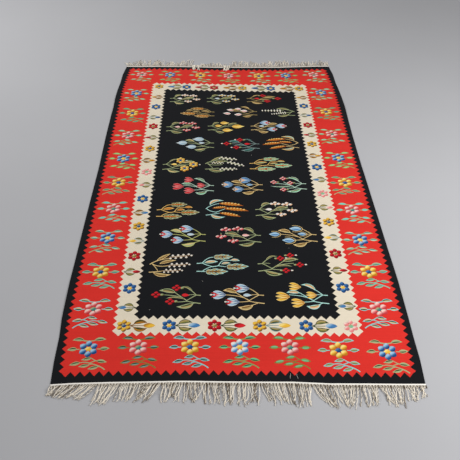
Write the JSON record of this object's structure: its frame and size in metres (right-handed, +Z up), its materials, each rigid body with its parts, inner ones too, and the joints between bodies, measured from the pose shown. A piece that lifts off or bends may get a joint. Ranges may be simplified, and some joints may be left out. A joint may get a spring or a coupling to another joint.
{
  "type": "flat-woven floral kilim rug",
  "caption": "Long flat-woven wool rug with floral borders and sprigs, lying flat, knotted cream warp fringe at both ends.",
  "frame": {"origin": "on the floor, under the middle of the cloth", "axes": "+X across the rug to its right long edge, +Y along the rug to its far end, +Z up from the floor"},
  "size_m": [1.863, 3.2861, 0.0138],
  "materials": {
    "wool": "tapestry-woven dyed wool, matt, red border with black, cream and many-coloured flowers",
    "warp": "undyed cream cotton warp, knotted and left loose, matt"
  },
  "bodies": {
    "root": {"cloth": "wool", "near_fringe": "warp", "far_fringe": "warp"}
  },
  "joints": []
}
